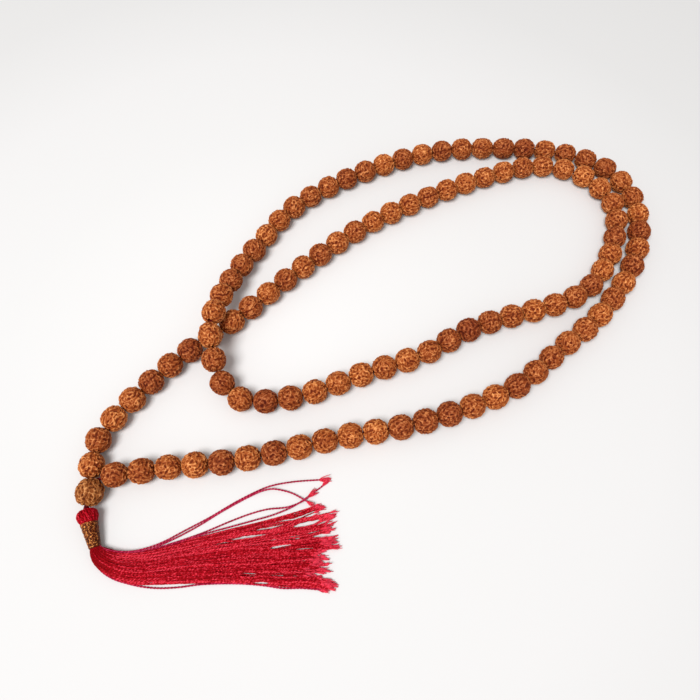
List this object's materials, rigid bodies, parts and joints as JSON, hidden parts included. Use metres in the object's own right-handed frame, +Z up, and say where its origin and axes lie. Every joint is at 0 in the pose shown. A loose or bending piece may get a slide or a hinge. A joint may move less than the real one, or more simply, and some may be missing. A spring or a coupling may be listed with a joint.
{
  "type": "mala prayer beads",
  "caption": "Mala laid down as a double loop: round knobbly seed prayer beads on a red cord, ending in a guru bead and a red thread tassel with a gold-wound neck.",
  "frame": {"origin": "on the surface that the mala lies on, under the middle of its outline", "axes": "+X along the laid loop's length, away from the guru bead; +Y across it, away from the tassel; +Z up"},
  "size_m": [0.2006, 0.1751, 0.0149],
  "materials": {
    "seed_bead": "rough ridged seed, orange-brown, with dark crevices",
    "guru_seed": "rough ridged seed, yellow-brown",
    "red_cord": "twisted dark red cord",
    "red_thread": "silky crimson thread",
    "gold_thread": "wound metallic gold thread"
  },
  "bodies": {
    "cord_loop": {"stringing_cord": "red_cord"},
    "bead_pair_01": {"bead_pair_01": "seed_bead"},
    "bead_pair_02": {"bead_pair_02": "seed_bead"},
    "bead_pair_03": {"bead_pair_03": "seed_bead"},
    "bead_pair_04": {"bead_pair_04": "seed_bead"},
    "bead_pair_05": {"bead_pair_05": "seed_bead"},
    "bead_pair_06": {"bead_pair_06": "seed_bead"},
    "bead_pair_07": {"bead_pair_07": "seed_bead"},
    "bead_pair_08": {"bead_pair_08": "seed_bead"},
    "bead_pair_09": {"bead_pair_09": "seed_bead"},
    "bead_pair_10": {"bead_pair_10": "seed_bead"},
    "bead_pair_11": {"bead_pair_11": "seed_bead"},
    "bead_pair_12": {"bead_pair_12": "seed_bead"},
    "bead_pair_13": {"bead_pair_13": "seed_bead"},
    "bead_pair_14": {"bead_pair_14": "seed_bead"},
    "bead_pair_15": {"bead_pair_15": "seed_bead"},
    "bead_pair_16": {"bead_pair_16": "seed_bead"},
    "bead_pair_17": {"bead_pair_17": "seed_bead"},
    "bead_pair_18": {"bead_pair_18": "seed_bead"},
    "bead_pair_19": {"bead_pair_19": "seed_bead"},
    "bead_pair_20": {"bead_pair_20": "seed_bead"},
    "bead_pair_21": {"bead_pair_21": "seed_bead"},
    "bead_pair_22": {"bead_pair_22": "seed_bead"},
    "bead_pair_23": {"bead_pair_23": "seed_bead"},
    "bead_pair_24": {"bead_pair_24": "seed_bead"},
    "bead_pair_25": {"bead_pair_25": "seed_bead"},
    "bead_pair_26": {"bead_pair_26": "seed_bead"},
    "bead_pair_27": {"bead_pair_27": "seed_bead"},
    "bead_pair_28": {"bead_pair_28": "seed_bead"},
    "bead_pair_29": {"bead_pair_29": "seed_bead"},
    "bead_pair_30": {"bead_pair_30": "seed_bead"},
    "bead_pair_31": {"bead_pair_31": "seed_bead"},
    "bead_pair_32": {"bead_pair_32": "seed_bead"},
    "bead_pair_33": {"bead_pair_33": "seed_bead"},
    "bead_pair_34": {"bead_pair_34": "seed_bead"},
    "bead_pair_35": {"bead_pair_35": "seed_bead"},
    "bead_pair_36": {"bead_pair_36": "seed_bead"},
    "bead_pair_37": {"bead_pair_37": "seed_bead"},
    "bead_pair_38": {"bead_pair_38": "seed_bead"},
    "bead_pair_39": {"bead_pair_39": "seed_bead"},
    "bead_pair_40": {"bead_pair_40": "seed_bead"},
    "bead_pair_41": {"bead_pair_41": "seed_bead"},
    "bead_pair_42": {"bead_pair_42": "seed_bead"},
    "bead_pair_43": {"bead_pair_43": "seed_bead"},
    "bead_pair_44": {"bead_pair_44": "seed_bead"},
    "bead_pair_45": {"bead_pair_45": "seed_bead"},
    "bead_pair_46": {"bead_pair_46": "seed_bead"},
    "bead_pair_47": {"bead_pair_47": "seed_bead"},
    "bead_pair_48": {"bead_pair_48": "seed_bead"},
    "bead_pair_49": {"bead_pair_49": "seed_bead"},
    "bead_pair_50": {"bead_pair_50": "seed_bead"},
    "bead_pair_51": {"bead_pair_51": "seed_bead"},
    "bead_pair_52": {"bead_pair_52": "seed_bead"},
    "bead_pair_53": {"bead_pair_53": "seed_bead"},
    "bead_pair_54": {"bead_pair_54": "seed_bead"},
    "guru": {"guru_bead": "guru_seed"},
    "neck": {"tassel_neck": "red_cord"},
    "tassel_head": {"tassel_knob": "red_thread", "thread_wrap": "gold_thread"},
    "skirt": {"tassel_skirt": "red_thread"}
  },
  "joints": [
    {"name": "tassel_swing", "type": "hinge", "parent": "cord_loop", "child": "neck", "pos_m": [-0.09619, -0.06311, 0.0043], "axis": [0, 0, 1], "range_deg": [-56, 2]},
    {"name": "tassel_lift", "type": "hinge", "parent": "neck", "child": "tassel_head", "pos_m": [-0.096, -0.0641, 0.0038], "axis": [-0.9336, -0.3584, 0], "range_deg": [0, 20]},
    {"name": "skirt_swing", "type": "hinge", "parent": "tassel_head", "child": "skirt", "pos_m": [-0.09152, -0.07576, 0.00215], "axis": [0, 0, 1], "range_deg": [-30, 2]},
    {"name": "guru_spin", "type": "hinge", "parent": "cord_loop", "child": "guru", "pos_m": [-0.0956, -0.0589, 0.0043], "axis": [0.1392, 0.9903, 0], "continuous": true},
    {"name": "spin_01", "type": "hinge", "parent": "cord_loop", "child": "bead_pair_01", "pos_m": [-0.09643, -0.04606, 0.004], "axis": [0.0785, 0.9969, 0], "continuous": true},
    {"name": "spin_02", "type": "hinge", "parent": "cord_loop", "child": "bead_pair_02", "pos_m": [-0.08976, -0.03116, 0.004], "axis": [0.5983, 0.8013, 0], "continuous": true},
    {"name": "spin_03", "type": "hinge", "parent": "cord_loop", "child": "bead_pair_03", "pos_m": [-0.07908, -0.0183, 0.004], "axis": [0.6712, 0.7413, 0], "continuous": true},
    {"name": "spin_04", "type": "hinge", "parent": "cord_loop", "child": "bead_pair_04", "pos_m": [-0.06699, -0.00677, 0.004], "axis": [0.7621, 0.6474, 0], "continuous": true},
    {"name": "spin_05", "type": "hinge", "parent": "cord_loop", "child": "bead_pair_05", "pos_m": [-0.05348, 0.00486, 0.004], "axis": [0.7277, 0.6859, 0], "continuous": true},
    {"name": "spin_06", "type": "hinge", "parent": "cord_loop", "child": "bead_pair_06", "pos_m": [-0.04153, 0.01656, 0.004], "axis": [0.7182, 0.6959, 0], "continuous": true},
    {"name": "spin_07", "type": "hinge", "parent": "cord_loop", "child": "bead_pair_07", "pos_m": [-0.02923, 0.0279, 0.004], "axis": [0.7451, 0.6669, 0], "continuous": true},
    {"name": "spin_08", "type": "hinge", "parent": "cord_loop", "child": "bead_pair_08", "pos_m": [-0.01644, 0.03867, 0.004], "axis": [0.79, 0.6131, 0], "continuous": true},
    {"name": "spin_09", "type": "hinge", "parent": "cord_loop", "child": "bead_pair_09", "pos_m": [-0.00264, 0.04811, 0.004], "axis": [0.8547, 0.519, 0], "continuous": true},
    {"name": "spin_10", "type": "hinge", "parent": "cord_loop", "child": "bead_pair_10", "pos_m": [0.01199, 0.05621, 0.004], "axis": [0.8912, 0.4536, 0], "continuous": true},
    {"name": "spin_11", "type": "hinge", "parent": "cord_loop", "child": "bead_pair_11", "pos_m": [0.0271, 0.06338, 0.004], "axis": [0.9153, 0.4027, 0], "continuous": true},
    {"name": "spin_12", "type": "hinge", "parent": "cord_loop", "child": "bead_pair_12", "pos_m": [0.04264, 0.06954, 0.004], "axis": [0.9454, 0.3259, 0], "continuous": true},
    {"name": "spin_13", "type": "hinge", "parent": "cord_loop", "child": "bead_pair_13", "pos_m": [0.05877, 0.07366, 0.004], "axis": [0.9945, 0.1046, 0], "continuous": true},
    {"name": "spin_14", "type": "hinge", "parent": "cord_loop", "child": "bead_pair_14", "pos_m": [0.0748, 0.07056, 0.004], "axis": [0.8903, -0.4554, 0], "continuous": true},
    {"name": "spin_15", "type": "hinge", "parent": "cord_loop", "child": "bead_pair_15", "pos_m": [0.08585, 0.05869, 0.004], "axis": [0.4328, -0.9015, 0], "continuous": true},
    {"name": "spin_16", "type": "hinge", "parent": "cord_loop", "child": "bead_pair_16", "pos_m": [0.0865, 0.04259, 0.004], "axis": [-0.2574, -0.9663, 0], "continuous": true},
    {"name": "spin_17", "type": "hinge", "parent": "cord_loop", "child": "bead_pair_17", "pos_m": [0.08012, 0.02722, 0.004], "axis": [-0.5059, -0.8626, 0], "continuous": true},
    {"name": "spin_18", "type": "hinge", "parent": "cord_loop", "child": "bead_pair_18", "pos_m": [0.06947, 0.01459, 0.004], "axis": [-0.8054, -0.5927, 0], "continuous": true},
    {"name": "spin_19", "type": "hinge", "parent": "cord_loop", "child": "bead_pair_19", "pos_m": [0.05441, 0.00764, 0.004], "axis": [-0.9568, -0.2907, 0], "continuous": true},
    {"name": "spin_20", "type": "hinge", "parent": "cord_loop", "child": "bead_pair_20", "pos_m": [0.03837, 0.00292, 0.004], "axis": [-0.9559, -0.2936, 0], "continuous": true},
    {"name": "spin_21", "type": "hinge", "parent": "cord_loop", "child": "bead_pair_21", "pos_m": [0.023, -0.00351, 0.004], "axis": [-0.8624, -0.5061, 0], "continuous": true},
    {"name": "spin_22", "type": "hinge", "parent": "cord_loop", "child": "bead_pair_22", "pos_m": [0.00844, -0.01167, 0.004], "axis": [-0.9178, -0.397, 0], "continuous": true},
    {"name": "spin_23", "type": "hinge", "parent": "cord_loop", "child": "bead_pair_23", "pos_m": [-0.00727, -0.01738, 0.004], "axis": [-0.9442, -0.3294, -0.0001], "continuous": true},
    {"name": "spin_24", "type": "hinge", "parent": "cord_loop", "child": "bead_pair_24", "pos_m": [-0.02287, -0.02343, 0.00398], "axis": [-0.931, -0.365, -0.001], "continuous": true},
    {"name": "spin_25", "type": "hinge", "parent": "cord_loop", "child": "bead_pair_25", "pos_m": [-0.03893, -0.02784, 0.00397], "axis": [-0.9902, -0.1392, -0.0068], "continuous": true},
    {"name": "spin_26", "type": "hinge", "parent": "cord_loop", "child": "bead_pair_26", "pos_m": [-0.05446, -0.02515, 0.00498], "axis": [-0.7589, 0.6247, 0.1838], "continuous": true},
    {"name": "spin_27", "type": "hinge", "parent": "cord_loop", "child": "bead_pair_27", "pos_m": [-0.0613, -0.0115, 0.00998], "axis": [-0.1798, 0.9337, 0.3095], "continuous": true},
    {"name": "spin_28", "type": "hinge", "parent": "cord_loop", "child": "bead_pair_28", "pos_m": [-0.06089, 0.00574, 0.01018], "axis": [0.186, 0.9479, -0.2588], "continuous": true},
    {"name": "spin_29", "type": "hinge", "parent": "cord_loop", "child": "bead_pair_29", "pos_m": [-0.0563, 0.02123, 0.00609], "axis": [0.3745, 0.9097, -0.1795], "continuous": true},
    {"name": "spin_30", "type": "hinge", "parent": "cord_loop", "child": "bead_pair_30", "pos_m": [-0.04877, 0.03599, 0.00417], "axis": [0.4992, 0.8653, -0.046], "continuous": true},
    {"name": "spin_31", "type": "hinge", "parent": "cord_loop", "child": "bead_pair_31", "pos_m": [-0.03946, 0.04983, 0.00398], "axis": [0.643, 0.7658, 0.0043], "continuous": true},
    {"name": "spin_32", "type": "hinge", "parent": "cord_loop", "child": "bead_pair_32", "pos_m": [-0.027, 0.06086, 0.00398], "axis": [0.823, 0.5681, 0.0003], "continuous": true},
    {"name": "spin_33", "type": "hinge", "parent": "cord_loop", "child": "bead_pair_33", "pos_m": [-0.01264, 0.06941, 0.004], "axis": [0.8872, 0.4613, 0.0012], "continuous": true},
    {"name": "spin_34", "type": "hinge", "parent": "cord_loop", "child": "bead_pair_34", "pos_m": [0.00256, 0.07637, 0.004], "axis": [0.9309, 0.3652, 0], "continuous": true},
    {"name": "spin_35", "type": "hinge", "parent": "cord_loop", "child": "bead_pair_35", "pos_m": [0.01851, 0.08135, 0.004], "axis": [0.9748, 0.2233, 0], "continuous": true},
    {"name": "spin_36", "type": "hinge", "parent": "cord_loop", "child": "bead_pair_36", "pos_m": [0.03505, 0.08357, 0.004], "axis": [0.9987, 0.0515, 0], "continuous": true},
    {"name": "spin_37", "type": "hinge", "parent": "cord_loop", "child": "bead_pair_37", "pos_m": [0.05237, 0.08355, 0.004], "axis": [0.9988, -0.0483, 0], "continuous": true},
    {"name": "spin_38", "type": "hinge", "parent": "cord_loop", "child": "bead_pair_38", "pos_m": [0.06894, 0.08159, 0.004], "axis": [0.974, -0.2264, 0], "continuous": true},
    {"name": "spin_39", "type": "hinge", "parent": "cord_loop", "child": "bead_pair_39", "pos_m": [0.08425, 0.07523, 0.004], "axis": [0.8372, -0.5469, 0], "continuous": true},
    {"name": "spin_40", "type": "hinge", "parent": "cord_loop", "child": "bead_pair_40", "pos_m": [0.09442, 0.06182, 0.004], "axis": [0.3451, -0.9386, 0], "continuous": true},
    {"name": "spin_41", "type": "hinge", "parent": "cord_loop", "child": "bead_pair_41", "pos_m": [0.09577, 0.04547, 0.004], "axis": [-0.1546, -0.988, 0], "continuous": true},
    {"name": "spin_42", "type": "hinge", "parent": "cord_loop", "child": "bead_pair_42", "pos_m": [0.09115, 0.02948, 0.004], "axis": [-0.4096, -0.9123, 0], "continuous": true},
    {"name": "spin_43", "type": "hinge", "parent": "cord_loop", "child": "bead_pair_43", "pos_m": [0.08218, 0.01473, 0.004], "axis": [-0.6035, -0.7974, 0], "continuous": true},
    {"name": "spin_44", "type": "hinge", "parent": "cord_loop", "child": "bead_pair_44", "pos_m": [0.07074, 0.00176, 0.004], "axis": [-0.7289, -0.6846, 0], "continuous": true},
    {"name": "spin_45", "type": "hinge", "parent": "cord_loop", "child": "bead_pair_45", "pos_m": [0.05741, -0.00944, 0.004], "axis": [-0.7576, -0.6527, 0], "continuous": true},
    {"name": "spin_46", "type": "hinge", "parent": "cord_loop", "child": "bead_pair_46", "pos_m": [0.04466, -0.02024, 0.004], "axis": [-0.8055, -0.5927, 0], "continuous": true},
    {"name": "spin_47", "type": "hinge", "parent": "cord_loop", "child": "bead_pair_47", "pos_m": [0.0294, -0.02852, 0.004], "axis": [-0.9234, -0.3839, 0], "continuous": true},
    {"name": "spin_48", "type": "hinge", "parent": "cord_loop", "child": "bead_pair_48", "pos_m": [0.01367, -0.03419, 0.004], "axis": [-0.954, -0.2997, 0], "continuous": true},
    {"name": "spin_49", "type": "hinge", "parent": "cord_loop", "child": "bead_pair_49", "pos_m": [-0.00254, -0.03824, 0.004], "axis": [-0.9837, -0.1801, 0], "continuous": true},
    {"name": "spin_50", "type": "hinge", "parent": "cord_loop", "child": "bead_pair_50", "pos_m": [-0.01899, -0.04128, 0.004], "axis": [-0.9772, -0.2125, 0], "continuous": true},
    {"name": "spin_51", "type": "hinge", "parent": "cord_loop", "child": "bead_pair_51", "pos_m": [-0.03525, -0.04521, 0.004], "axis": [-0.9721, -0.2347, 0], "continuous": true},
    {"name": "spin_52", "type": "hinge", "parent": "cord_loop", "child": "bead_pair_52", "pos_m": [-0.05162, -0.04861, 0.004], "axis": [-0.9864, -0.1642, 0], "continuous": true},
    {"name": "spin_53", "type": "hinge", "parent": "cord_loop", "child": "bead_pair_53", "pos_m": [-0.06823, -0.0505, 0.004], "axis": [-0.9951, -0.0985, 0], "continuous": true},
    {"name": "spin_54", "type": "hinge", "parent": "cord_loop", "child": "bead_pair_54", "pos_m": [-0.08482, -0.05269, 0.004], "axis": [-0.9887, -0.15, 0], "continuous": true}
  ]
}
